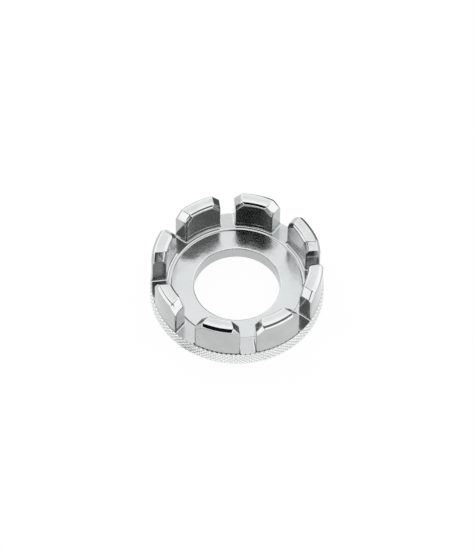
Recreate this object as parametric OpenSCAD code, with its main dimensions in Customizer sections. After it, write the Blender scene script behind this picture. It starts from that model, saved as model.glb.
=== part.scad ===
// Round spoke wrench: a knurled steel ring whose eight upright jaws leave eight slots,
// each slot as wide as the flats of one size of spoke nipple.
// The back face lies on Z = 0, the ring's axis is Z, and the slots open outwards and upwards.
// Slot 1 points along +Y, and the slots are numbered clockwise as seen from above.

/* [Ring] */
// Diameter over the tips of the knurl
rim_d = 38; // [32:0.5:46]
// Height of the rim, from the back face up to the slot floors
rim_h = 3.4; // [2.6:0.1:5]
// Radial width of the knurled band
rim_band_w = 1.6; // [1:0.1:2.4]
// Width of the centre disc, from the hole to the step
disc_w = 4.78; // [3:0.02:7]
// Drop from the slot floors down to the centre disc
disc_drop = 0.35; // [0.2:0.05:0.8]
// Radial run of the bevel between the ledge and the centre disc
step_run = 0.3; // [0.1:0.05:0.6]
// Width of the ledge in front of the jaws
ledge_w = 0.85; // [0.4:0.05:1.4]
// Bevel on the upper edge of the hole
bore_bevel = 0.15; // [0.05:0.05:0.4]
// Height of the bevel along the upper edge of the rim
rim_bevel_h = 0.25; // [0.1:0.05:0.5]

/* [Knurl] */
// Diamonds in one row round the rim
knurl_count = 112; // [80:4:140]
// Rows of whole diamonds up the rim
knurl_rows = 3; // [2:1:4]
// Depth of the grooves between the diamonds
knurl_depth = 0.32; // [0.15:0.01:0.45]

/* [Jaws] */
// Height of the jaws above the slot floors
jaw_h = 8.4; // [6:0.1:11]
// Radial thickness of the jaws
jaw_t = 3.35; // [2.6:0.05:4.2]
// Length of the sloping facet at each end of a jaw, along the jaw
end_facet_w = 1.55; // [0.8:0.05:1.8]
// Height of the sloping facet at each end of a jaw
end_facet_h = 1.8; // [0.8:0.05:2.4]
// Bevel along the outer edges of a jaw
outer_bevel = 0.75; // [0.3:0.05:1]
// Bevel along the inner edges of a jaw
inner_bevel = 0.55; // [0.2:0.05:0.8]

/* [Slots] */
// Width of slot 1
slot_1_w = 3.3; // [3:0.05:6]
// Width of slot 2
slot_2_w = 4.2; // [3:0.05:6]
// Width of slot 3
slot_3_w = 3.4; // [3:0.05:6]
// Width of slot 4
slot_4_w = 4.1; // [3:0.05:6]
// Width of slot 5
slot_5_w = 3.45; // [3:0.05:6]
// Width of slot 6
slot_6_w = 5; // [3:0.05:6]
// Width of slot 7
slot_7_w = 5.6; // [3:0.05:6]
// Width of slot 8
slot_8_w = 3.6; // [3:0.05:6]

/* [Hidden] */
slot_widths = [slot_1_w, slot_2_w, slot_3_w, slot_4_w, slot_5_w, slot_6_w, slot_7_w, slot_8_w];
slot_count = len(slot_widths);
slot_pitch = 360 / slot_count;
first_slot_angle = 90;

tip_r = rim_d / 2;
root_r = tip_r - knurl_depth;
band_inner_r = tip_r - rim_band_w;
// The outer walls of the jaws stand on the bottoms of the knurl's grooves
jaw_outer_r = root_r;
jaw_inner_r = jaw_outer_r - jaw_t;
jaw_top_z = rim_h + jaw_h;
facet_foot_z = jaw_top_z - end_facet_h;
ledge_r = jaw_inner_r - ledge_w;
disc_r = ledge_r - step_run;
bore_r = disc_r - disc_w;
disc_top_z = rim_h - disc_drop;

// How far each cutting shape runs past the metal that it cuts
overrun = rim_h;
cutter_reach = tip_r + overrun;
$fn = 180;

function slot_angle(number) = first_slot_angle - slot_pitch * (number - 1);
function slot_width(number) = slot_widths[(number - 1) % slot_count];

// Flat annulus inside the step, with the hole's upper edge bevelled
module centre_disc() {
    color("lightgray")
    rotate_extrude()
    polygon([
        [bore_r, 0],
        [disc_r, 0],
        [disc_r, disc_top_z],
        [bore_r + bore_bevel, disc_top_z],
        [bore_r, disc_top_z - bore_bevel]
    ]);
}

// Ring that the jaws stand on: the slot floors, the ledge in front of the jaws
// and the bevelled step down to the centre disc
module seat_ring() {
    color("silver")
    rotate_extrude()
    polygon([
        [disc_r, 0],
        [band_inner_r, 0],
        [band_inner_r, rim_h],
        [ledge_r, rim_h],
        [disc_r, disc_top_z]
    ]);
}

// Knurl: a grid of points wrapped round the rim, where points alternate between
// the bottoms of the grooves and the tips of the diamonds. Above it a last level
// at the depth of the grooves makes the bevel of the rim's upper edge.
knurl_columns = knurl_count * 2;
knurl_levels = knurl_rows * 2;
knurl_level_h = (rim_h - rim_bevel_h) / knurl_levels;
last_level = knurl_levels + 1;

function is_tip(column, level) = level < last_level && (column + level) % 2 == 1;
function level_z(level) = level < last_level ? level * knurl_level_h : rim_h;
function knurl_point(column, level) =
    let (
        radius = is_tip(column, level) ? tip_r : root_r,
        angle = 360 * column / knurl_columns
    )
    [radius * cos(angle), radius * sin(angle), level_z(level)];
function point_index(column, level) = level * knurl_columns + column % knurl_columns;

// One cell of the grid is two triangles that meet along the groove
function cell_faces(column, level) =
    let (
        low_left = point_index(column, level),
        low_right = point_index(column + 1, level),
        high_left = point_index(column, level + 1),
        high_right = point_index(column + 1, level + 1)
    )
    is_tip(column, level)
        ? [[low_left, high_left, low_right], [high_left, high_right, low_right]]
        : [[low_left, high_left, high_right], [low_left, high_right, low_right]];

module knurled_blank() {
    grid = [
        for (level = [0 : last_level])
            for (column = [0 : knurl_columns - 1])
                knurl_point(column, level)
    ];
    low_centre = len(grid);
    high_centre = len(grid) + 1;
    side_faces = [
        for (level = [0 : last_level - 1])
            for (column = [0 : knurl_columns - 1])
                each cell_faces(column, level)
    ];
    low_faces = [
        for (column = [0 : knurl_columns - 1])
            [low_centre, point_index(column, 0), point_index(column + 1, 0)]
    ];
    high_faces = [
        for (column = [0 : knurl_columns - 1])
            [high_centre, point_index(column + 1, last_level), point_index(column, last_level)]
    ];
    polyhedron(
        points = concat(grid, [[0, 0, 0], [0, 0, rim_h]]),
        faces = concat(side_faces, low_faces, high_faces)
    );
}

// Knurled grip band round the seat ring
module knurled_rim() {
    color("gainsboro")
    difference() {
        knurled_blank();
        translate([0, 0, -overrun])
        cylinder(h = rim_h + 2 * overrun, r = band_inner_r);
    }
}

// Everything on the far side of a plane, as one large block
module beyond_plane(point, normal) {
    reach = 2 * cutter_reach;
    translate(point)
    rotate([0, acos(normal.z / norm(normal)), atan2(normal.y, normal.x)])
    translate([-reach / 2, -reach / 2, 0])
    cube(reach);
}

// The open space of a slot, seen along the slot: parallel walls up to the end facets,
// which flare outwards to the top of the jaws and on past it
module slot_space(number) {
    half_w = slot_width(number) / 2;
    flare_w = end_facet_w * (end_facet_h + overrun) / end_facet_h;
    rotate([0, 0, slot_angle(number)])
    rotate([90, 0, 90])
    linear_extrude(cutter_reach)
    polygon([
        [-half_w, rim_h - overrun],
        [half_w, rim_h - overrun],
        [half_w, facet_foot_z],
        [half_w + flare_w, jaw_top_z + overrun],
        [-half_w - flare_w, jaw_top_z + overrun],
        [-half_w, facet_foot_z]
    ]);
}

// The bevel that follows an end facet down to the slot wall, as the block to cut away.
// It starts at the corner where the top, the long bevel and the facet meet, and takes
// the same width from the facet and from the wall.
// It is worked out in the slot's own frame, where X runs outwards along the slot and
// side is the direction of the jaw across the slot.
// face is 1 on the outer wall of the jaw and -1 on the inner wall.
module facet_bevel_cut(number, side, face) {
    corner_r = face > 0 ? jaw_outer_r - outer_bevel : jaw_inner_r + inner_bevel;
    corner_y = slot_width(number) / 2 + end_facet_w;
    corner_x = sqrt(corner_r * corner_r - corner_y * corner_y);
    wall_normal = face * [corner_x, side * corner_y, 0] / corner_r;
    facet_normal = [0, -side * end_facet_h, end_facet_w] / norm([end_facet_w, end_facet_h]);
    rotate([0, 0, slot_angle(number)])
    beyond_plane([corner_x, side * corner_y, jaw_top_z], wall_normal + facet_normal);
}

// One jaw, from the slot of its own number clockwise to the next slot
module jaw(number) {
    color("whitesmoke")
    difference() {
        rotate([0, 0, slot_angle(number + 1)])
        rotate_extrude(angle = slot_pitch)
        polygon([
            [jaw_inner_r, rim_h],
            [jaw_outer_r, rim_h],
            [jaw_outer_r, jaw_top_z - outer_bevel],
            [jaw_outer_r - outer_bevel, jaw_top_z],
            [jaw_inner_r + inner_bevel, jaw_top_z],
            [jaw_inner_r, jaw_top_z - inner_bevel]
        ]);
        slot_space(number);
        slot_space(number + 1);
        for (face = [-1, 1]) {
            facet_bevel_cut(number, -1, face);
            facet_bevel_cut(number + 1, 1, face);
        }
    }
}

centre_disc();
seat_ring();
knurled_rim();
for (number = [1 : slot_count])
    jaw(number);
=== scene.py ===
"""Looks of a round spoke wrench: chromed steel, a diamond knurl and eight jaws with softened edges"""
import math

import bmesh
import bpy
from mathutils import Matrix, Vector


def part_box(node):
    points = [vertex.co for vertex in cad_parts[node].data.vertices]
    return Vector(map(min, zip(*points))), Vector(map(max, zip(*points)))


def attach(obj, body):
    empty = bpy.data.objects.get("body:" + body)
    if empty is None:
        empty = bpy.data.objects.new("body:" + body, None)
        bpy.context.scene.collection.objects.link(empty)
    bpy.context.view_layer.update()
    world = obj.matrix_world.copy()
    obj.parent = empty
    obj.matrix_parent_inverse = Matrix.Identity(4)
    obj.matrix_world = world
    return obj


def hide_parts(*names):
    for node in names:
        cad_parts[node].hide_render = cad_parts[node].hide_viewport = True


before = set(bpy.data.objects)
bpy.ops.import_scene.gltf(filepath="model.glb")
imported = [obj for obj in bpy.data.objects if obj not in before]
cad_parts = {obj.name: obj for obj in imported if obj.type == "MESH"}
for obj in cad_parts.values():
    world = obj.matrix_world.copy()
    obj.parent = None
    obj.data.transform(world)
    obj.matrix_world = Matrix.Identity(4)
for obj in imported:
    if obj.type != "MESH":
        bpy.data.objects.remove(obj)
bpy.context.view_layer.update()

# Lengths are in metres, and one given in millimetres is a number times MM
MM = 0.001
BODY = "root"
# Points nearer than this are one point
SAME_PLACE = 0.001 * MM
# Radius of a corner that stays sharp
SHARP = 0

# Jaws and slots
SLOT_COUNT = 8
SLOT_PITCH = math.tau / SLOT_COUNT
FIRST_SLOT_ANGLE = math.radians(90)
END_FACET_W = 1.55 * MM
END_FACET_H = 1.8 * MM
OUTER_BEVEL = 0.75 * MM
INNER_BEVEL = 0.55 * MM
# Rounding of the upright corners, and the share of it that the other edges get
CORNER_RADIUS = 0.36 * MM
EDGE_RADIUS_SHARE = 0.45
EDGE_STEPS = 4
# Tilt that buffing gives to the borders of tops and long bevels
TOP_DOME = math.radians(5)
BEVEL_DOME = math.radians(8)
BEVEL_SLOPE = math.radians(45)
# Rounding at the foot of the walls, and how deep its back is sunk into wall and floor
ROOT_FILLET = 0.32 * MM
FILLET_DEPTH = 0.05 * MM
OUTLINE_MARK = "is_outline"
# Turn from one section of a jaw's block to the next, and how far past the facet the first one lies
SECTION_STEP = math.radians(2)
SECTION_MARGIN = math.radians(1.8)
SMALLEST_EDGE = 0.12 * MM
CUT_TOLERANCE = 0.0001 * MM
# Edges with less of a fold than this aren't rounded
LEAST_SOFT_ANGLE = math.radians(9)
# Limits on the parts of unit vectors, for telling upright edges and kinds of faces apart
UPRIGHT_PART = 0.99
SIDEWAYS_PART = 0.2
DOWNWARD_PART = 0.5
SLOPE_TOLERANCE = 0.02

# Revolved pieces
TURN_STEPS = 360
ARC_STEPS = 5
SHARP_ANGLE = math.radians(35)
FLAT_FACE_WEIGHT = 50
# The step from the ledge down to the centre disc, and the hole's upper edge, each in two slopes
STEP_SHOULDER_RUN = 0.2 * MM
STEP_SHOULDER_DROP = 0.12 * MM
STEP_TOP_RUN = 0.52 * MM
STEP_TOP_RADIUS = 0.8 * MM
STEP_SHOULDER_RADIUS = 0.25 * MM
BORE_SHOULDER_RUN = 0.3 * MM
BORE_SHOULDER_DROP = 0.1 * MM
BORE_BEVEL_RUN = 0.08 * MM
BORE_BEVEL_DROP = 0.28 * MM
BORE_TOP_RADIUS = 0.3 * MM
BORE_EDGE_RADIUS = 0.1 * MM

# Knurl
KNURL_COUNT = 112
KNURL_ROWS = 3
KNURL_DEPTH = 0.24 * MM
RIM_BEVEL_H = 0.25 * MM
RIM_BEVEL_STEPS = 4
CREST_ROUNDING = 3
# Small triangles along each side of a quarter diamond
KNURL_FINENESS = 6
KNURL_UNEVENNESS = 0.02 * MM
KNURL_UNEVENNESS_PER_MM = 0.7
KNURL_JOIN = 0.002 * MM
# Below this share of its depth a groove counts as its own bottom line
GROOVE_LINE = 1e-6

# Camera, fitted to the edges and circles of the wrench in the photograph
CAMERA_AZIMUTH = math.radians(-8.37)
CAMERA_ELEVATION = math.radians(55.12)
CAMERA_ROLL = math.radians(1.1)
CAMERA_DISTANCE = 848 * MM
CAMERA_LENS = 252
CAMERA_NEAR = 10 * MM
CAMERA_FAR = 10
# Size of the photograph, and the place in it of the wrench's axis at the slot floors' height, in pixels
PICTURE_W = 474
PICTURE_H = 556
AXIS_AT_SEAT_X = 236.92
AXIS_AT_SEAT_Y = 282.83

# Studio
FLOOR_HALF_W = 4
PAPER_WHITE = 0.85
PAPER_GLOW_SHARE = 0.95
WORLD_STRENGTH = 1
TENT_RADIUS = 1.2
TENT_SEGMENTS = 64
TENT_RINGS = 32
TENT_BRIGHTNESS = 1.75
# A limit past half a turn is no limit
ANY_AZIMUTH = 400
# Patches of the tent as (azimuths, elevations, softness, brightness), with angles in degrees.
# The walls of the jaws mirror the tent by way of the disc or the slot floor at their feet.
TENT_PATCHES = (
    # Behind: seen in the tops of the jaws, the centre disc and the slot floors
    ((152, ANY_AZIMUTH), (46, 60), 6, 1.42),
    ((-ANY_AZIMUTH, -169), (46, 60), 6, 1.42),
    # Behind on the right: rear edges of jaws 1 and 2
    ((125, 163), (-10, 30), 4, 0.1),
    # Left: end walls of jaws 3 and 8
    ((-104, -56), (30, 64), 5, 0.25),
    # Behind on the left: the line along the outer edge of jaw 6
    ((-124, -96), (33, 50), 3, 0.12),
    # Front right: inner side of jaw 8, outer bevel of jaw 4, end walls of jaws 2 and 7
    ((0, 88), (29, 63), 3, 0.21),
    # Front left: inner side of jaw 1 and outer bevel of jaw 5
    ((-58, 4.2), (17, 68), 2, 0.01),
)
# Corners of the dark cards on the floor, in millimetres. The rear card is a painted shadow that stands for
# the wrench's
# shadow on the floor behind it: it darkens the facet of jaw 8 towards slot 1, and the other two the knurl
# beside slot 6.
DARK_CARDS = {
    "rear_painted_shadow": ((10.5, 26), (90, 26), (90, 120), (10.5, 120)),
    "front_card": ((-20, -19.5), (-13, -24.7), (-17, -34), (-29, -25)),
    "slot_card": ((-13.7, -13.1), (-23, -13.1), (-24, -18), (-12, -15.6)),
}
DARK_CARD_BRIGHTNESS = 0.13
# Softboxes as (azimuth, elevation, width, height), with angles in degrees and sides in metres
SOFTBOXES = {
    "right_softbox": (112, 25, 0.75, 0.7),
    "left_softbox": (-135, 35, 0.9, 0.7),
}
SOFTBOX_DISTANCE = 0.9
SOFTBOX_RADIANCE = 1.2

# Places of the sockets of Blender's mix node, whose names repeat
MIX_VALUE_INPUTS = (2, 3)
MIX_VALUE_OUTPUT = 0
MIX_COLOUR_INPUTS = (6, 7)
MIX_COLOUR_OUTPUT = 2

# Plating, wear and painted shade in the knurl's grooves. The noises are counted per millimetre, and colours
# are shares of the light.
NOISE_MIDDLE = 0.5
SWELLS_PER_MM = 0.45
RIPPLES_PER_MM = 1.6
SMUDGES_PER_MM = 0.25
RINGS_PER_MM = 12
WALL_ROUGHNESS = 0.11
ZONE_FADE = 0.2 * MM
# Painted shade in the bottoms of the knurl's grooves: a darker grey mixed into the rim's colour by a share,
# with edges that a noise makes uneven
GROOVE_PAINTED_SHADE_COLOUR = (0.36, 0.37, 0.37)
GROOVE_ROUGHNESS = 0.3
GROOVE_PAINTED_SHADE_SHARE = 0.6
GROOVE_EDGE_NOISE_PER_MM = 1.5
GROOVE_EDGE_UNEVENNESS = 0.12 * MM
DISC_FINISH = {
    "colour": (0.5, 0.515, 0.515),
    "smudge_colour": (0.475, 0.49, 0.49),
    "roughness": 0.17,
    "smudge_roughness": 0.24,
    "smudge_spread": 0.2,
    "ripple_share": 0.4,
    "wave_height": 0.03 * MM,
    "line_height": 0.002 * MM,
    "grooved": False,
    "walled": False,
}
SEAT_FINISH = dict(
    DISC_FINISH, colour=(0.44, 0.45, 0.45), smudge_colour=(0.42, 0.43, 0.43), roughness=0.14,
    smudge_roughness=0.2, wave_height=0.02 * MM, ripple_share=0.3,
)
JAW_FINISH = dict(
    DISC_FINISH, colour=(0.53, 0.54, 0.54), roughness=0.06, smudge_roughness=0.1,
    wave_height=0.012 * MM, ripple_share=0.5, line_height=0.0003 * MM, walled=True,
)
RIM_FINISH = dict(
    DISC_FINISH, colour=(0.86, 0.87, 0.87), smudge_colour=(0.8, 0.81, 0.81), roughness=0.14,
    smudge_roughness=0.22, wave_height=0.01 * MM, line_height=0, grooved=True,
)


def node_vertices(node):
    """Places of a solid's corners, in metres"""
    return [vertex.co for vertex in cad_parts[node].data.vertices]


def radii(node):
    """Least and greatest distance of a solid from the wrench's axis"""
    distances = [corner.xy.length for corner in node_vertices(node)]
    return min(distances), max(distances)


BORE_R, DISC_R = radii("centre_disc")
DISC_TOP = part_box("centre_disc")[1].z
BAND_INNER_R = radii("seat_ring")[1]
SEAT_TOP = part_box("seat_ring")[1].z
TIP_R = radii("knurled_rim")[1]
JAW_INNER_R, JAW_OUTER_R = radii("jaw_1")
JAW_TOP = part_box("jaw_1")[1].z
FACET_FOOT = JAW_TOP - END_FACET_H
KNURL_TOP = SEAT_TOP - RIM_BEVEL_H
GROOVE_R = TIP_R - KNURL_DEPTH


def slot_angle(number):
    """Direction of a slot's middle line; the slots are numbered clockwise from +Y"""
    return FIRST_SLOT_ANGLE - SLOT_PITCH * (number - 1)


def across_slot(number):
    """Unit vector square to a slot's middle line"""
    angle = slot_angle(number)
    return Vector((-math.sin(angle), math.cos(angle), 0))


def half_slot(number, jaw):
    """Distance from a slot's middle line to the end wall of a jaw beside it"""
    across = across_slot(number)
    return min(abs(corner.dot(across)) for corner in node_vertices(f"jaw_{jaw}"))


def placed(name, data):
    """A new object in the scene"""
    item = bpy.data.objects.new(name, data)
    bpy.context.scene.collection.objects.link(item)
    return item


# Camera
def add_camera():
    camera = placed("camera", bpy.data.cameras.new("camera"))
    back = Vector((
        math.sin(CAMERA_AZIMUTH) * math.cos(CAMERA_ELEVATION),
        -math.cos(CAMERA_AZIMUTH) * math.cos(CAMERA_ELEVATION),
        math.sin(CAMERA_ELEVATION),
    ))
    level = (-back).to_track_quat("-Z", "Y").to_matrix().to_4x4()
    place = Matrix.Translation(Vector((0, 0, SEAT_TOP)) + back * CAMERA_DISTANCE)
    camera.matrix_world = place @ level @ Matrix.Rotation(CAMERA_ROLL, 4, "Z")
    camera.data.lens = CAMERA_LENS
    camera.data.shift_x = (PICTURE_W / 2 - AXIS_AT_SEAT_X) / PICTURE_H
    camera.data.shift_y = (AXIS_AT_SEAT_Y - PICTURE_H / 2) / PICTURE_H
    camera.data.clip_start = CAMERA_NEAR
    camera.data.clip_end = CAMERA_FAR
    bpy.context.scene.camera = camera


# Meshes
def finished(name, bm, material):
    """A smooth mesh object with outward faces"""
    bmesh.ops.recalc_face_normals(bm, faces=bm.faces)
    for face in bm.faces:
        face.smooth = True
    mesh = bpy.data.meshes.new(name)
    bm.to_mesh(mesh)
    bm.free()
    mesh.materials.append(material)
    return placed(name, mesh)


def bake(piece):
    """Turns a piece with its modifiers into a plain mesh"""
    depsgraph = bpy.context.evaluated_depsgraph_get()
    evaluated = piece.evaluated_get(depsgraph)
    mesh = bpy.data.meshes.new_from_object(evaluated, preserve_all_data_layers=True, depsgraph=depsgraph)
    piece.modifiers.clear()
    piece.data = mesh


def seat_on_frame(piece, node):
    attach(piece, BODY)
    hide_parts(node)


def keep_flat_faces(piece):
    """Weighs the shading so that large faces keep their own direction"""
    normals = piece.modifiers.new("flat_faces", "WEIGHTED_NORMAL")
    normals.mode = "FACE_AREA"
    normals.weight = FLAT_FACE_WEIGHT
    normals.keep_sharp = True


def rounded_outline(corners):
    """Closed outline in which each corner (x, y, radius) becomes an arc"""
    outline = []
    for index, (x, y, radius) in enumerate(corners):
        corner = Vector((x, y))
        before = (Vector(corners[index - 1][:2]) - corner).normalized()
        after = (Vector(corners[(index + 1) % len(corners)][:2]) - corner).normalized()
        if radius == SHARP:
            outline.append(corner)
            continue
        half_angle = before.angle(after) / 2
        centre = corner + (before + after).normalized() * radius / math.sin(half_angle)
        start = corner + before * radius / math.tan(half_angle) - centre
        end = corner + after * radius / math.tan(half_angle) - centre
        turn = start.angle_signed(end)
        for step in range(ARC_STEPS + 1):
            outline.append(centre + Matrix.Rotation(-turn * step / ARC_STEPS, 2) @ start)
    return outline


def revolved(outline):
    """Closed outline of (radius, height) turned round the wrench's axis, with its sharp edges marked"""
    bm = bmesh.new()
    rings = []
    for step in range(TURN_STEPS):
        angle = math.tau * step / TURN_STEPS
        rings.append([bm.verts.new((r * math.cos(angle), r * math.sin(angle), z)) for r, z in outline])
    for step, ring in enumerate(rings):
        following = rings[(step + 1) % TURN_STEPS]
        for index in range(len(outline)):
            bm.faces.new((ring[index - 1], following[index - 1], following[index], ring[index]))
    mark_sharp_edges(bm)
    return bm


def mark_sharp_edges(bm):
    bm.normal_update()
    for edge in bm.edges:
        edge.smooth = edge.calc_face_angle() < SHARP_ANGLE


def add_revolved_piece(name, corners, material, node):
    piece = finished(name, revolved(rounded_outline(corners)), material)
    keep_flat_faces(piece)
    bake(piece)
    seat_on_frame(piece, node)


def add_disc_plate(material):
    """The flat disc inside the step, with the hole's upper edge in two slopes"""
    add_revolved_piece("disc_plate", [
        (BORE_R, 0, SHARP),
        (DISC_R, 0, SHARP),
        (DISC_R, DISC_TOP, SHARP),
        (BORE_R + BORE_SHOULDER_RUN, DISC_TOP, BORE_TOP_RADIUS),
        (BORE_R + BORE_BEVEL_RUN, DISC_TOP - BORE_SHOULDER_DROP, BORE_EDGE_RADIUS),
        (BORE_R, DISC_TOP - BORE_BEVEL_DROP, BORE_EDGE_RADIUS),
    ], material, "centre_disc")


def add_jaw_seat(material):
    """The ring that the jaws stand on, with a soft shoulder above the step down to the disc"""
    add_revolved_piece("jaw_seat", [
        (DISC_R, 0, SHARP),
        (BAND_INNER_R, 0, SHARP),
        (BAND_INNER_R, SEAT_TOP, SHARP),
        (DISC_R + STEP_TOP_RUN, SEAT_TOP, STEP_TOP_RADIUS),
        (DISC_R + STEP_SHOULDER_RUN, SEAT_TOP - STEP_SHOULDER_DROP, STEP_SHOULDER_RADIUS),
        (DISC_R, DISC_TOP, SHARP),
    ], material, "seat_ring")


# Knurl
def knurl_height(u, v):
    """Share of the groove depth where u counts pitches round the rim and v counts rows up it"""
    rising = abs(math.sin(math.pi * (u + v)))
    falling = abs(math.sin(math.pi * (u - v)))
    if min(rising, falling) < GROOVE_LINE:
        return 0
    softened = (rising ** -CREST_ROUNDING + falling ** -CREST_ROUNDING) / 2
    return softened ** (-1 / CREST_ROUNDING)


def rim_point(u, z, height_share):
    """Place on the rim's side at u pitches round it"""
    radius = TIP_R - KNURL_DEPTH * (1 - height_share)
    angle = math.tau * u / KNURL_COUNT
    return Vector((radius * math.cos(angle), radius * math.sin(angle), z))


def knurl_point(u, v):
    return rim_point(u, KNURL_TOP * v / KNURL_ROWS, knurl_height(u, v))


def bevel_point(u, step):
    """Place on the round bevel above the knurl, which ends at the depth of the grooves"""
    share = step / RIM_BEVEL_STEPS
    height_share = knurl_height(u, KNURL_ROWS) * math.cos(share * math.pi / 2)
    return rim_point(u, KNURL_TOP + RIM_BEVEL_H * share, height_share)


def add_quad(bm, corners):
    bm.faces.new([bm.verts.new(corner) for corner in corners])


def add_triangle_grid(bm, corners):
    """Fills a triangle of (u, v) corners with small triangles on the knurl's surface"""
    rows = []
    for row in range(KNURL_FINENESS + 1):
        line = []
        for column in range(row + 1):
            shares = (KNURL_FINENESS - row, row - column, column)
            u = sum(share * corner[0] for share, corner in zip(shares, corners)) / KNURL_FINENESS
            v = sum(share * corner[1] for share, corner in zip(shares, corners)) / KNURL_FINENESS
            line.append(bm.verts.new(knurl_point(u, v)))
        rows.append(line)
    for row in range(KNURL_FINENESS):
        for column in range(row + 1):
            bm.faces.new((rows[row][column], rows[row + 1][column], rows[row + 1][column + 1]))
            if column < row:
                bm.faces.new((rows[row][column], rows[row + 1][column + 1], rows[row][column + 1]))


def knurl_strip():
    """One pitch of the rim: quarter diamonds up its side, and its top, back and inner faces"""
    bm = bmesh.new()
    half = 0.5
    for level in range(2 * KNURL_ROWS):
        low = level * half
        for column in range(2):
            left = column * half
            right = left + half
            high = low + half
            if (level + column) % 2:
                add_triangle_grid(bm, ((left, low), (left, high), (right, low)))
                add_triangle_grid(bm, ((right, high), (right, low), (left, high)))
            else:
                add_triangle_grid(bm, ((right, low), (left, low), (right, high)))
                add_triangle_grid(bm, ((left, high), (right, high), (left, low)))
    columns = 2 * KNURL_FINENESS
    for column in range(columns):
        left = column / columns
        right = (column + 1) / columns
        for step in range(RIM_BEVEL_STEPS):
            add_quad(bm, (
                bevel_point(left, step), bevel_point(right, step),
                bevel_point(right, step + 1), bevel_point(left, step + 1),
            ))
        inner_corners = [
            Vector((place.x, place.y, 0)).normalized() * BAND_INNER_R
            for place in (rim_point(left, 0, 0), rim_point(right, 0, 0))
        ]
        top = Vector((0, 0, SEAT_TOP))
        add_quad(bm, (
            bevel_point(left, RIM_BEVEL_STEPS), bevel_point(right, RIM_BEVEL_STEPS),
            inner_corners[1] + top, inner_corners[0] + top,
        ))
        add_quad(bm, (knurl_point(right, 0), knurl_point(left, 0), *inner_corners))
        add_quad(bm, (inner_corners[0], inner_corners[1], inner_corners[1] + top, inner_corners[0] + top))
    return bm


# Geometry Nodes
def math_node(tree, operation, *values):
    """A math node whose values are numbers or sockets; gives its output"""
    node = tree.nodes.new("ShaderNodeMath")
    node.operation = operation
    for index, value in enumerate(values):
        if isinstance(value, bpy.types.NodeSocket):
            tree.links.new(value, node.inputs[index])
        else:
            node.inputs[index].default_value = value
    return node.outputs[0]


def set_input(modifier, name, value):
    """Sets a modifier's input by its socket's identifier"""
    for item in modifier.node_group.interface.items_tree:
        if item.item_type == "SOCKET" and item.in_out == "INPUT" and item.name == name:
            modifier[item.identifier] = value
            return
    raise KeyError(name)


def new_modifier_tree(name, inputs):
    """An empty Geometry Nodes tree with a geometry in and out, and further inputs (name, kind)"""
    tree = bpy.data.node_groups.new(name, "GeometryNodeTree")
    tree.is_modifier = True
    tree.interface.new_socket("Geometry", in_out="INPUT", socket_type="NodeSocketGeometry")
    for socket_name, kind in inputs:
        tree.interface.new_socket(socket_name, in_out="INPUT", socket_type=kind)
    tree.interface.new_socket("Geometry", in_out="OUTPUT", socket_type="NodeSocketGeometry")
    return tree, tree.nodes.new("NodeGroupInput"), tree.nodes.new("NodeGroupOutput")


def dress_and_end(tree, geometry, given, result):
    """The last step of a tree: gives the geometry its finish and hands it out"""
    dressed = tree.nodes.new("GeometryNodeSetMaterial")
    tree.links.new(geometry, dressed.inputs["Geometry"])
    tree.links.new(given.outputs["Finish"], dressed.inputs["Material"])
    tree.links.new(dressed.outputs["Geometry"], result.inputs["Geometry"])


def ring_of_copies(tree, given):
    """Copies of the given geometry, turned round the axis at an even pitch and joined"""
    link = tree.links.new
    points = tree.nodes.new("GeometryNodePoints")
    link(given.outputs["Copies"], points.inputs["Count"])
    index = tree.nodes.new("GeometryNodeInputIndex")
    pitch = math_node(tree, "DIVIDE", math.tau, given.outputs["Copies"])
    rotation = tree.nodes.new("ShaderNodeCombineXYZ")
    link(math_node(tree, "MULTIPLY", index.outputs[0], pitch), rotation.inputs["Z"])
    copies = tree.nodes.new("GeometryNodeInstanceOnPoints")
    link(points.outputs[0], copies.inputs["Points"])
    link(given.outputs["Geometry"], copies.inputs["Instance"])
    link(rotation.outputs[0], copies.inputs["Rotation"])
    realized = tree.nodes.new("GeometryNodeRealizeInstances")
    link(copies.outputs[0], realized.inputs[0])
    joined = tree.nodes.new("GeometryNodeMergeByDistance")
    link(realized.outputs[0], joined.inputs["Geometry"])
    link(given.outputs["Join distance"], joined.inputs["Distance"])
    return joined.outputs[0]


def unevenly_sunk(tree, geometry, given):
    """The geometry, sunk towards the axis by a noise"""
    link = tree.links.new
    position = tree.nodes.new("GeometryNodeInputPosition")
    noise = tree.nodes.new("ShaderNodeTexNoise")
    link(given.outputs["Unevenness scale"], noise.inputs["Scale"])
    link(position.outputs[0], noise.inputs["Vector"])
    inwards = tree.nodes.new("ShaderNodeVectorMath")
    inwards.operation = "MULTIPLY"
    inwards.inputs[1].default_value = (-1, -1, 0)
    link(position.outputs[0], inwards.inputs[0])
    direction = tree.nodes.new("ShaderNodeVectorMath")
    direction.operation = "NORMALIZE"
    link(inwards.outputs[0], direction.inputs[0])
    offset = tree.nodes.new("ShaderNodeVectorMath")
    offset.operation = "SCALE"
    link(direction.outputs[0], offset.inputs[0])
    link(math_node(tree, "MULTIPLY", noise.outputs[0], given.outputs["Unevenness"]), offset.inputs["Scale"])
    moved = tree.nodes.new("GeometryNodeSetPosition")
    link(geometry, moved.inputs["Geometry"])
    link(offset.outputs[0], moved.inputs["Offset"])
    return moved.outputs[0]


def knurled_ring_tree():
    """Geometry Nodes: makes the whole knurled ring from one pitch of it"""
    tree, given, result = new_modifier_tree("knurled_ring", (
        ("Copies", "NodeSocketInt"),
        ("Join distance", "NodeSocketFloat"),
        ("Unevenness", "NodeSocketFloat"),
        ("Unevenness scale", "NodeSocketFloat"),
        ("Finish", "NodeSocketMaterial"),
    ))
    ring = ring_of_copies(tree, given)
    dress_and_end(tree, unevenly_sunk(tree, ring, given), given, result)
    return tree


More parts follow.
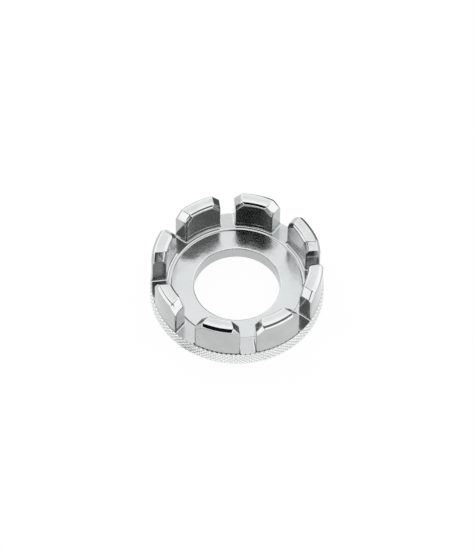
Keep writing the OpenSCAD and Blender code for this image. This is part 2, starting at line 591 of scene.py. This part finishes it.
def add_knurled_rim(material):
    bm = knurl_strip()
    bmesh.ops.remove_doubles(bm, verts=bm.verts, dist=SAME_PLACE)
    piece = finished("knurled_grip", bm, material)
    ring = piece.modifiers.new("ring", "NODES")
    ring.node_group = knurled_ring_tree()
    set_input(ring, "Copies", KNURL_COUNT)
    set_input(ring, "Join distance", KNURL_JOIN)
    set_input(ring, "Unevenness", KNURL_UNEVENNESS)
    set_input(ring, "Unevenness scale", KNURL_UNEVENNESS_PER_MM / MM)
    set_input(ring, "Finish", material)
    bake(piece)
    piece.data.set_sharp_from_angle(angle=SHARP_ANGLE)
    corners = piece.data.vertices
    for edge in piece.data.edges:
        if min(corners[index].co.z for index in edge.vertices) > SEAT_TOP - SAME_PLACE:
            edge.use_edge_sharp = True
    keep_flat_faces(piece)
    bake(piece)
    seat_on_frame(piece, "knurled_rim")


# Jaws
def cut_away(bm, point, normal):
    """Removes everything on the side of a plane that its normal points to, and closes the cut"""
    bmesh.ops.bisect_plane(
        bm, geom=bm.verts[:] + bm.edges[:] + bm.faces[:],
        dist=CUT_TOLERANCE, plane_co=point, plane_no=normal, clear_outer=True,
    )
    rim = [edge for edge in bm.edges if edge.is_boundary]
    bmesh.ops.edgeloop_fill(bm, edges=rim)


def cut_jaw_end(bm, number, jaw, side):
    """Cuts a jaw's end beside a slot: the wall, the sloping facet and the facet's two bevels.

    side is the direction of the jaw across the slot, 1 or -1.
    """
    angle = slot_angle(number)
    along = Vector((math.cos(angle), math.sin(angle), 0))
    across = across_slot(number) * side
    up = Vector((0, 0, 1))
    half_w = half_slot(number, jaw)
    cut_away(bm, across * half_w, -across)
    facet_normal = (up * END_FACET_W - across * END_FACET_H).normalized()
    cut_away(bm, across * half_w + up * FACET_FOOT, facet_normal)
    for wall_r, bevel, face in ((JAW_OUTER_R, OUTER_BEVEL, 1), (JAW_INNER_R, INNER_BEVEL, -1)):
        top_y = half_w + END_FACET_W
        top_x = math.sqrt((wall_r - face * bevel) ** 2 - top_y ** 2)
        top_corner = along * top_x + across * top_y + up * JAW_TOP
        wall_normal = (along * top_x + across * top_y).normalized() * face
        cut_away(bm, top_corner, wall_normal + facet_normal)


def section_angles(number):
    """Directions of the sections of a jaw's block: evenly along its top, and one in each end"""
    angles = []
    for slot, direction in ((number + 1, 1), (number, -1)):
        half_w = half_slot(slot, number)
        wall_angle = math.asin(half_w / JAW_OUTER_R)
        facet_angle = math.asin((half_w + END_FACET_W) / (JAW_INNER_R + INNER_BEVEL))
        middle = (wall_angle + facet_angle) / 2
        for turn in (0, middle, facet_angle + SECTION_MARGIN):
            angles.append(slot_angle(slot) + direction * turn)
    angles.sort()
    # The jaw has its full height between the third and the fourth of these six
    low, high = angles[2], angles[3]
    count = math.ceil((high - low) / SECTION_STEP)
    between = [low + (high - low) * step / count for step in range(1, count)]
    return angles[:3] + between + angles[3:]


def jaw_mesh(number):
    """A jaw's block, swept between two slots and cut to shape at both ends"""
    outline = [
        (JAW_INNER_R, SEAT_TOP),
        (JAW_OUTER_R, SEAT_TOP),
        (JAW_OUTER_R, JAW_TOP - OUTER_BEVEL),
        (JAW_OUTER_R - OUTER_BEVEL, JAW_TOP),
        (JAW_INNER_R + INNER_BEVEL, JAW_TOP),
        (JAW_INNER_R, JAW_TOP - INNER_BEVEL),
    ]
    bm = bmesh.new()
    rings = []
    for angle in section_angles(number):
        rings.append([bm.verts.new((r * math.cos(angle), r * math.sin(angle), z)) for r, z in outline])
    for ring, following in zip(rings, rings[1:]):
        for index in range(len(outline)):
            bm.faces.new((ring[index - 1], ring[index], following[index], following[index - 1]))
    bm.faces.new(rings[0])
    bm.faces.new(reversed(rings[-1]))
    bmesh.ops.recalc_face_normals(bm, faces=bm.faces)
    cut_jaw_end(bm, number, number, -1)
    cut_jaw_end(bm, number + 1, number, 1)
    bmesh.ops.remove_doubles(bm, verts=bm.verts, dist=SMALLEST_EDGE)
    return bm


def mark_soft_edges(bm):
    """Weights for the rounding of a jaw's edges: full at its upright corners, none at its root"""
    weight = bm.edges.layers.float.new("bevel_weight_edge")
    for edge in bm.edges:
        if len(edge.link_faces) != 2 or edge.calc_face_angle() < LEAST_SOFT_ANGLE:
            continue
        first, second = (vertex.co for vertex in edge.verts)
        if max(first.z, second.z) < SEAT_TOP + SAME_PLACE:
            edge.smooth = False
            continue
        upright = abs((first - second).normalized().z) > UPRIGHT_PART
        edge[weight] = 1 if upright else EDGE_RADIUS_SHARE


def domed(normal, corner):
    """A direction on a jaw's top or long bevels, tilted as buffing leaves them: slightly domed"""
    outwards = Vector((corner.x, corner.y, 0)).normalized()
    along = outwards.cross(Vector((0, 0, 1)))
    if abs(normal.dot(along)) > SIDEWAYS_PART:
        return normal
    outer = corner.xy.length > (JAW_INNER_R + JAW_OUTER_R) / 2
    side = 1 if outer else -1
    bevel = OUTER_BEVEL if outer else INNER_BEVEL
    tilt = math.atan2(normal.dot(outwards) * side, normal.z)
    if corner.z > JAW_TOP - bevel / 2:
        tilt = TOP_DOME + tilt * (BEVEL_SLOPE - BEVEL_DOME - TOP_DOME) / BEVEL_SLOPE
    else:
        right_angle = math.pi / 2
        tilt = right_angle - (right_angle - tilt) * (BEVEL_SLOPE - BEVEL_DOME) / BEVEL_SLOPE
    return outwards * side * math.sin(tilt) + Vector((0, 0, math.cos(tilt)))


def set_turned_normals(mesh):
    """Gives the round faces of a jaw, its walls and long bevels, their true directions"""
    slopes = (Vector((1, 0)), Vector((-1, 0)), Vector((1, 1)).normalized(), Vector((-1, 1)).normalized())
    normals = [corner.vector.copy() for corner in mesh.corner_normals]
    for face in mesh.polygons:
        radial = Vector((face.center.x, face.center.y, 0)).normalized()
        slope = Vector((face.normal.dot(radial), face.normal.z))
        is_turned = any((slope - known).length < SLOPE_TOLERANCE for known in slopes)
        for index in face.loop_indices:
            corner = mesh.vertices[mesh.loops[index].vertex_index].co
            if is_turned:
                outwards = Vector((corner.x, corner.y, 0)).normalized()
                normals[index] = outwards * slope.x + Vector((0, 0, slope.y))
            if face.normal.z > -DOWNWARD_PART and corner.z > JAW_TOP - 2 * OUTER_BEVEL:
                normals[index] = domed(normals[index], corner)
    mesh.normals_split_custom_set(normals)


def add_jaw(number, material):
    node = f"jaw_{number}"
    bm = jaw_mesh(number)
    mark_soft_edges(bm)
    piece = finished(f"chromed_{node}", bm, material)
    rounding = piece.modifiers.new("soft_edges", "BEVEL")
    rounding.limit_method = "WEIGHT"
    rounding.width = CORNER_RADIUS
    rounding.segments = EDGE_STEPS
    keep_flat_faces(piece)
    bake(piece)
    set_turned_normals(piece.data)
    seat_on_frame(piece, node)


def foot_path(number):
    """Path round the foot of a jaw: in along one end wall, along the inner wall and out again"""
    ends = []
    for slot, side in ((number + 1, 1), (number, -1)):
        angle = slot_angle(slot)
        along = Vector((math.cos(angle), math.sin(angle), 0))
        across = across_slot(slot) * side
        half_w = half_slot(slot, number)
        corner = along * math.sqrt(JAW_INNER_R ** 2 - half_w ** 2) + across * half_w
        outer = along * math.sqrt(JAW_OUTER_R ** 2 - half_w ** 2) + across * half_w
        ends.append((outer, corner, corner + along * CORNER_RADIUS))
    (first_outer, first_corner, first_start), (last_outer, last_corner, last_start) = ends
    low = math.atan2(first_corner.y, first_corner.x)
    high = low + (math.atan2(last_corner.y, last_corner.x) - low) % math.tau
    margin = CORNER_RADIUS / JAW_INNER_R
    count = math.ceil((high - low) / SECTION_STEP)
    inner = []
    for step in range(count + 1):
        angle = low + margin + (high - low - 2 * margin) * step / count
        inner.append(Vector((math.cos(angle), math.sin(angle), 0)) * JAW_INNER_R)
    path = [first_outer, first_start]
    path += corner_arc(first_start, first_corner, inner[0])
    path += inner
    path += corner_arc(inner[-1], last_corner, last_start)
    path += [last_start, last_outer]
    return [point + Vector((0, 0, SEAT_TOP)) for point in path]


def corner_arc(start, corner, end):
    """Points between start and end on a curve that leans into the corner"""
    points = []
    for step in range(1, ARC_STEPS):
        share = step / ARC_STEPS
        points.append(start * (1 - share) ** 2 + corner * 2 * share * (1 - share) + end * share ** 2)
    return points


def fillet_profile():
    """Closed outline of a fillet as (height, distance from the wall), sunk a little into wall and floor"""
    outline = []
    for step in range(ARC_STEPS + 1):
        turn = math.pi / 2 * step / ARC_STEPS
        outline.append((ROOT_FILLET * (1 - math.sin(turn)), ROOT_FILLET * (1 - math.cos(turn))))
    outline += [(-FILLET_DEPTH, ROOT_FILLET), (-FILLET_DEPTH, -FILLET_DEPTH), (ROOT_FILLET, -FILLET_DEPTH)]
    return outline


def strip_along_path_tree():
    """Geometry Nodes: sweeps the edges marked as outline along the other edges"""
    tree, given, result = new_modifier_tree("strip_along_path", (
        ("Outline mark", "NodeSocketString"),
        ("Finish", "NodeSocketMaterial"),
    ))
    node = tree.nodes.new
    link = tree.links.new
    mark = node("GeometryNodeInputNamedAttribute")
    mark.data_type = "BOOLEAN"
    link(given.outputs["Outline mark"], mark.inputs["Name"])
    parts = node("GeometryNodeSeparateGeometry")
    link(given.outputs["Geometry"], parts.inputs["Geometry"])
    link(mark.outputs["Attribute"], parts.inputs["Selection"])
    outline = node("GeometryNodeMeshToCurve")
    link(parts.outputs["Selection"], outline.inputs["Mesh"])
    path = node("GeometryNodeMeshToCurve")
    link(parts.outputs["Inverted"], path.inputs["Mesh"])
    level = node("GeometryNodeSetCurveNormal")
    level.mode = "Z_UP"
    link(path.outputs["Curve"], level.inputs["Curve"])
    swept = node("GeometryNodeCurveToMesh")
    swept.inputs["Fill Caps"].default_value = True
    link(level.outputs["Curve"], swept.inputs["Curve"])
    link(outline.outputs["Curve"], swept.inputs["Profile Curve"])
    realized = node("GeometryNodeRealizeInstances")
    link(swept.outputs["Mesh"], realized.inputs["Geometry"])
    dress_and_end(tree, realized.outputs["Geometry"], given, result)
    return tree


def path_and_outline(name, path, outline):
    """A mesh of loose edges: an open path, and a closed outline whose points are marked"""
    start = len(path)
    count = len(outline)
    path_edges = [(index, index + 1) for index in range(start - 1)]
    outline_edges = [(start + index, start + (index + 1) % count) for index in range(count)]
    mesh = bpy.data.meshes.new(name)
    mesh.from_pydata(path + outline, path_edges + outline_edges, [])
    mark = mesh.attributes.new(OUTLINE_MARK, "BOOLEAN", "POINT")
    for index in range(start, start + count):
        mark.data[index].value = True
    return mesh


def add_root_fillet(number, tree, material):
    """The small hollow rounding where a jaw's walls meet the floor"""
    name = f"root_fillet_{number}"
    # Swept along this path, the outline's X points down and its Y points into the wall
    outline = [Vector((-height, -distance, 0)) for height, distance in fillet_profile()]
    piece = placed(name, path_and_outline(name, foot_path(number), outline))
    piece.data.materials.append(material)
    sweep = piece.modifiers.new("sweep", "NODES")
    sweep.node_group = tree
    set_input(sweep, "Outline mark", OUTLINE_MARK)
    set_input(sweep, "Finish", material)
    bake(piece)
    bm = bmesh.new()
    bm.from_mesh(piece.data)
    bmesh.ops.recalc_face_normals(bm, faces=bm.faces)
    for face in bm.faces:
        face.smooth = True
    mark_sharp_edges(bm)
    bm.to_mesh(piece.data)
    bm.free()
    seat_on_frame(piece, f"jaw_{number}")


# Materials
def new_group(name, inputs, outputs):
    """An empty shader node group with float inputs (name, default) and float outputs"""
    group = bpy.data.node_groups.new(name, "ShaderNodeTree")
    for socket_name, default in inputs:
        socket = group.interface.new_socket(socket_name, in_out="INPUT", socket_type="NodeSocketFloat")
        socket.default_value = default
    for socket_name in outputs:
        group.interface.new_socket(socket_name, in_out="OUTPUT", socket_type="NodeSocketFloat")
    return group, group.nodes.new("NodeGroupInput"), group.nodes.new("NodeGroupOutput")


def smooth_range(tree, value, low, high):
    """0 below low, 1 above high and a soft step between them"""
    node = tree.nodes.new("ShaderNodeMapRange")
    node.interpolation_type = "SMOOTHSTEP"
    for name, given in (("Value", value), ("From Min", low), ("From Max", high)):
        if isinstance(given, bpy.types.NodeSocket):
            tree.links.new(given, node.inputs[name])
        else:
            node.inputs[name].default_value = given
    return node.outputs["Result"]


def noise_value(tree, vector, scale, detail):
    """Noise between 0 and 1"""
    noise = tree.nodes.new("ShaderNodeTexNoise")
    noise.inputs["Scale"].default_value = scale
    noise.inputs["Detail"].default_value = detail
    tree.links.new(vector, noise.inputs["Vector"])
    return noise.outputs["Fac"]


def object_place(tree):
    return tree.nodes.new("ShaderNodeTexCoord").outputs["Object"]


def axis_distance(tree, place):
    """Distance from the wrench's axis of a separated place"""
    x_square = math_node(tree, "MULTIPLY", place.outputs["X"], place.outputs["X"])
    y_square = math_node(tree, "MULTIPLY", place.outputs["Y"], place.outputs["Y"])
    return math_node(tree, "SQRT", math_node(tree, "ADD", x_square, y_square))


def plating_waves_group():
    """Height of the faint waves in polished plate: broad swells with small ripples on them"""
    inputs = [("Ripple share", DISC_FINISH["ripple_share"])]
    group, given, result = new_group("plating_waves", inputs, ["Height"])
    place = object_place(group)
    swell = noise_value(group, place, SWELLS_PER_MM / MM, detail=1)
    ripple = noise_value(group, place, RIPPLES_PER_MM / MM, detail=2)
    raised = math_node(group, "MULTIPLY", ripple, given.outputs["Ripple share"])
    group.links.new(math_node(group, "ADD", swell, raised), result.inputs["Height"])
    return group


def turning_lines_group():
    """Height of the fine rings that turning leaves round the axis, uneven from ring to ring"""
    inputs = [("Rings per metre", RINGS_PER_MM / MM)]
    group, given, result = new_group("turning_lines", inputs, ["Height"])
    place = group.nodes.new("ShaderNodeSeparateXYZ")
    group.links.new(object_place(group), place.inputs[0])
    radius = axis_distance(group, place)
    rings = group.nodes.new("ShaderNodeTexNoise")
    rings.noise_dimensions = "1D"
    rings.inputs["Detail"].default_value = 3
    group.links.new(radius, rings.inputs["W"])
    group.links.new(given.outputs["Rings per metre"], rings.inputs["Scale"])
    group.links.new(rings.outputs["Fac"], result.inputs["Height"])
    return group


def smudges_group():
    """Mask of the dull smears that handling leaves"""
    inputs = [("Spread", DISC_FINISH["smudge_spread"])]
    group, given, result = new_group("handling_smudges", inputs, ["Mask"])
    place = object_place(group)
    broad = noise_value(group, place, SMUDGES_PER_MM / MM, detail=4)
    low = math_node(group, "SUBTRACT", NOISE_MIDDLE, given.outputs["Spread"])
    high = math_node(group, "ADD", NOISE_MIDDLE, given.outputs["Spread"])
    group.links.new(smooth_range(group, broad, low, high), result.inputs["Mask"])
    return group


def groove_depth_group():
    """Mask that is 1 in the bottoms of the knurl's grooves and 0 on the crests, with uneven edges"""
    inputs = [("Root radius", GROOVE_R), ("Tip radius", TIP_R)]
    group, given, result = new_group("groove_depth", inputs, ["Mask"])
    vector = object_place(group)
    place = group.nodes.new("ShaderNodeSeparateXYZ")
    group.links.new(vector, place.inputs[0])
    noise = noise_value(group, vector, GROOVE_EDGE_NOISE_PER_MM / MM, detail=2)
    centred = math_node(group, "SUBTRACT", noise, NOISE_MIDDLE)
    shift = math_node(group, "MULTIPLY", centred, GROOVE_EDGE_UNEVENNESS)
    radius = math_node(group, "ADD", axis_distance(group, place), shift)
    raised = smooth_range(group, radius, given.outputs["Root radius"], given.outputs["Tip radius"])
    group.links.new(math_node(group, "SUBTRACT", 1, raised), result.inputs["Mask"])
    return group


def inner_zone_group():
    """Mask that is 1 inside a radius and below a height, where a buffing wheel hardly reaches"""
    inputs = [("Outer radius", JAW_OUTER_R), ("Top height", FACET_FOOT)]
    group, given, result = new_group("inner_zone", inputs, ["Mask"])
    place = group.nodes.new("ShaderNodeSeparateXYZ")
    group.links.new(object_place(group), place.inputs[0])
    radius = axis_distance(group, place)
    low_radius = math_node(group, "SUBTRACT", given.outputs["Outer radius"], ZONE_FADE)
    outside = smooth_range(group, radius, low_radius, given.outputs["Outer radius"])
    high_top = math_node(group, "ADD", given.outputs["Top height"], ZONE_FADE)
    above = smooth_range(group, place.outputs["Z"], given.outputs["Top height"], high_top)
    inside = math_node(group, "SUBTRACT", 1, outside)
    below = math_node(group, "SUBTRACT", 1, above)
    group.links.new(math_node(group, "MULTIPLY", inside, below), result.inputs["Mask"])
    return group


def add_group(tree, group, **values):
    """A node for a shader node group, with its inputs set by name"""
    node = tree.nodes.new("ShaderNodeGroup")
    node.node_tree = group
    for name, value in values.items():
        node.inputs[name.replace("_", " ")].default_value = value
    return node


def mixed_colour(tree, share, first, second):
    """A blend of two colours, or of the colour from a socket and a colour"""
    mix = tree.nodes.new("ShaderNodeMix")
    mix.data_type = "RGBA"
    tree.links.new(share, mix.inputs["Factor"])
    for index, colour in zip(MIX_COLOUR_INPUTS, (first, second)):
        if isinstance(colour, bpy.types.NodeSocket):
            tree.links.new(colour, mix.inputs[index])
        else:
            mix.inputs[index].default_value = (*colour, 1)
    return mix.outputs[MIX_COLOUR_OUTPUT]


def mixed_value(tree, share, first, second):
    """A blend of two numbers or sockets"""
    mix = tree.nodes.new("ShaderNodeMix")
    tree.links.new(share, mix.inputs["Factor"])
    for index, value in zip(MIX_VALUE_INPUTS, (first, second)):
        if isinstance(value, bpy.types.NodeSocket):
            tree.links.new(value, mix.inputs[index])
        else:
            mix.inputs[index].default_value = value
    return mix.outputs[MIX_VALUE_OUTPUT]


def plated_normal(tree, finish, groups):
    """The plate's direction, bent by its waves and by turning lines"""
    waves = add_group(tree, groups["waves"], Ripple_share=finish["ripple_share"])
    wave_bump = tree.nodes.new("ShaderNodeBump")
    wave_bump.inputs["Distance"].default_value = finish["wave_height"]
    tree.links.new(waves.outputs["Height"], wave_bump.inputs["Height"])
    lines = add_group(tree, groups["lines"])
    line_bump = tree.nodes.new("ShaderNodeBump")
    line_bump.inputs["Distance"].default_value = finish["line_height"]
    tree.links.new(lines.outputs["Height"], line_bump.inputs["Height"])
    tree.links.new(wave_bump.outputs["Normal"], line_bump.inputs["Normal"])
    return line_bump.outputs["Normal"]


def with_painted_groove_shade(tree, colour, roughness, groups):
    """Colour and roughness of the rim: rougher in the knurl's grooves and darkened there by painted shade,
    and on top like the slot floors
    """
    depth = add_group(tree, groups["groove_depth"], Root_radius=GROOVE_R, Tip_radius=TIP_R).outputs["Mask"]
    # Painted shade: the bottoms of the grooves are darkened towards a grey
    share = math_node(tree, "MULTIPLY", depth, GROOVE_PAINTED_SHADE_SHARE)
    colour = mixed_colour(tree, share, colour, GROOVE_PAINTED_SHADE_COLOUR)
    roughness = mixed_value(tree, depth, roughness, GROOVE_ROUGHNESS)
    zone = add_group(tree, groups["inner_zone"], Outer_radius=GROOVE_R, Top_height=FACET_FOOT)
    colour = mixed_colour(tree, zone.outputs["Mask"], colour, SEAT_FINISH["colour"])
    roughness = mixed_value(tree, zone.outputs["Mask"], roughness, SEAT_FINISH["roughness"])
    return colour, roughness


def chrome(name, finish, groups):
    """Chrome plate: smudged in colour and roughness, and waved by bumps"""
    material = bpy.data.materials.new(name)
    material.use_nodes = True
    tree = material.node_tree
    shader = tree.nodes["Principled BSDF"]
    shader.inputs["Metallic"].default_value = 1
    smudges = add_group(tree, groups["smudges"], Spread=finish["smudge_spread"]).outputs["Mask"]
    colour = mixed_colour(tree, smudges, finish["colour"], finish["smudge_colour"])
    roughness = mixed_value(tree, smudges, finish["roughness"], finish["smudge_roughness"])
    if finish["walled"]:
        zone = add_group(tree, groups["inner_zone"], Outer_radius=JAW_OUTER_R, Top_height=FACET_FOOT)
        roughness = mixed_value(tree, zone.outputs["Mask"], roughness, WALL_ROUGHNESS)
    if finish["grooved"]:
        colour, roughness = with_painted_groove_shade(tree, colour, roughness, groups)
    tree.links.new(colour, shader.inputs["Base Color"])
    tree.links.new(roughness, shader.inputs["Roughness"])
    tree.links.new(plated_normal(tree, finish, groups), shader.inputs["Normal"])
    return material


# Floor and light
def bare_material(name):
    """A material with nothing but its output node"""
    material = bpy.data.materials.new(name)
    material.use_nodes = True
    tree = material.node_tree
    tree.nodes.clear()
    return material, tree, tree.nodes.new("ShaderNodeOutputMaterial")


def show_only_in_reflections(item):
    item.visible_camera = False
    item.visible_diffuse = False
    item.visible_shadow = False


def background_share(tree):
    """1 where a ray comes from the camera or from a reflection, so that it shows the white background"""
    rays = tree.nodes.new("ShaderNodeLightPath")
    seen = math_node(tree, "MAXIMUM", rays.outputs["Is Camera Ray"], rays.outputs["Is Glossy Ray"])
    return math_node(tree, "MAXIMUM", seen, rays.outputs["Is Transmission Ray"])


def add_floor():
    mesh = bpy.data.meshes.new("floor")
    corners = [(x * FLOOR_HALF_W, y * FLOOR_HALF_W, 0) for x, y in ((-1, -1), (1, -1), (1, 1), (-1, 1))]
    mesh.from_pydata(corners, [], [(0, 1, 2, 3)])
    floor = placed("floor", mesh)
    material, tree, output = bare_material("white_paper")
    paper = tree.nodes.new("ShaderNodeBsdfDiffuse")
    paper.inputs["Color"].default_value = (PAPER_WHITE, PAPER_WHITE, PAPER_WHITE, 1)
    glow = tree.nodes.new("ShaderNodeEmission")
    glow.inputs["Strength"].default_value = 1
    share = math_node(tree, "MULTIPLY", background_share(tree), PAPER_GLOW_SHARE)
    blend = tree.nodes.new("ShaderNodeMixShader")
    tree.links.new(share, blend.inputs[0])
    tree.links.new(paper.outputs[0], blend.inputs[1])
    tree.links.new(glow.outputs[0], blend.inputs[2])
    tree.links.new(blend.outputs[0], output.inputs["Surface"])
    mesh.materials.append(material)


def studio_direction(azimuth, elevation):
    """Unit vector for an azimuth, 0 at the front and 90 on the right, and an elevation, in degrees"""
    a = math.radians(azimuth)
    e = math.radians(elevation)
    return Vector((math.sin(a) * math.cos(e), -math.cos(a) * math.cos(e), math.sin(e)))


def soft_band(tree, value, limits, softness):
    """1 between two limits and 0 outside them, with soft borders"""
    low, high = limits
    above_low = smooth_range(tree, value, low - softness, low + softness)
    above_high = smooth_range(tree, value, high - softness, high + softness)
    return math_node(tree, "MULTIPLY", above_low, math_node(tree, "SUBTRACT", 1, above_high))


def tent_material():
    """Glow of the tent round the wrench: white, with soft grey and dark patches"""
    material, tree, output = bare_material("studio_tent")
    place = tree.nodes.new("ShaderNodeSeparateXYZ")
    tree.links.new(object_place(tree), place.inputs[0])
    backwards = math_node(tree, "MULTIPLY", place.outputs["Y"], -1)
    azimuth = math_node(tree, "DEGREES", math_node(tree, "ARCTAN2", place.outputs["X"], backwards))
    height_share = math_node(tree, "DIVIDE", place.outputs["Z"], TENT_RADIUS)
    elevation = math_node(tree, "DEGREES", math_node(tree, "ARCSINE", height_share))
    brightness = TENT_BRIGHTNESS
    for azimuths, elevations, softness, patch_brightness in TENT_PATCHES:
        across = soft_band(tree, azimuth, azimuths, softness)
        upwards = soft_band(tree, elevation, elevations, softness)
        mask = math_node(tree, "MULTIPLY", across, upwards)
        brightness = mixed_value(tree, mask, brightness, patch_brightness)
    glow = tree.nodes.new("ShaderNodeEmission")
    tree.links.new(brightness, glow.inputs["Strength"])
    tree.links.new(glow.outputs[0], output.inputs["Surface"])
    return material


def add_tent():
    """Half a sphere round the wrench that shows only in its reflections"""
    bm = bmesh.new()
    bmesh.ops.create_uvsphere(bm, u_segments=TENT_SEGMENTS, v_segments=TENT_RINGS, radius=TENT_RADIUS)
    below = [vertex for vertex in bm.verts if vertex.co.z < -SAME_PLACE]
    bmesh.ops.delete(bm, geom=below, context="VERTS")
    mesh = bpy.data.meshes.new("tent")
    bm.to_mesh(mesh)
    bm.free()
    tent = placed("tent", mesh)
    mesh.materials.append(tent_material())
    show_only_in_reflections(tent)


def add_dark_card(name, corners):
    """A dark card on the floor, seen only in the wrench's chrome"""
    mesh = bpy.data.meshes.new(name)
    mesh.from_pydata([(x * MM, y * MM, SAME_PLACE) for x, y in corners], [], [(0, 1, 2, 3)])
    card = placed(name, mesh)
    material, tree, output = bare_material(name)
    glow = tree.nodes.new("ShaderNodeEmission")
    glow.inputs["Strength"].default_value = DARK_CARD_BRIGHTNESS
    tree.links.new(glow.outputs[0], output.inputs["Surface"])
    mesh.materials.append(material)
    show_only_in_reflections(card)


def add_softbox(name, azimuth, elevation, width, height):
    """A soft lamp that points at the wrench and doesn't show in it"""
    lamp_data = bpy.data.lights.new(name, "AREA")
    lamp_data.shape = "RECTANGLE"
    lamp_data.size = width
    lamp_data.size_y = height
    lamp_data.energy = SOFTBOX_RADIANCE * math.pi * width * height
    lamp = placed(name, lamp_data)
    direction = studio_direction(azimuth, elevation)
    facing = direction.to_track_quat("Z", "Y").to_matrix().to_4x4()
    lamp.matrix_world = Matrix.Translation(direction * SOFTBOX_DISTANCE) @ facing
    lamp.visible_glossy = False


def add_world():
    """White surroundings that light the wrench and the floor from all sides"""
    world = bpy.data.worlds.new("studio")
    bpy.context.scene.world = world
    world.use_nodes = True
    background = world.node_tree.nodes["Background"]
    background.inputs["Color"].default_value = (1, 1, 1, 1)
    background.inputs["Strength"].default_value = WORLD_STRENGTH


add_camera()
bpy.context.scene.view_settings.view_transform = "Standard"
effects = {
    "waves": plating_waves_group(),
    "lines": turning_lines_group(),
    "smudges": smudges_group(),
    "groove_depth": groove_depth_group(),
    "inner_zone": inner_zone_group(),
}
disc_chrome = chrome("disc_chrome", DISC_FINISH, effects)
seat_chrome = chrome("seat_chrome", SEAT_FINISH, effects)
rim_chrome = chrome("rim_chrome", RIM_FINISH, effects)
jaw_chrome = chrome("jaw_chrome", JAW_FINISH, effects)

add_disc_plate(disc_chrome)
add_jaw_seat(seat_chrome)
add_knurled_rim(rim_chrome)
strip_tree = strip_along_path_tree()
for jaw_number in range(1, SLOT_COUNT + 1):
    add_jaw(jaw_number, jaw_chrome)
    add_root_fillet(jaw_number, strip_tree, jaw_chrome)
add_floor()
add_world()
add_tent()
for card_name, card_corners in DARK_CARDS.items():
    add_dark_card(card_name, card_corners)
for softbox_name, placing in SOFTBOXES.items():
    add_softbox(softbox_name, *placing)

bpy.context.view_layer.update()
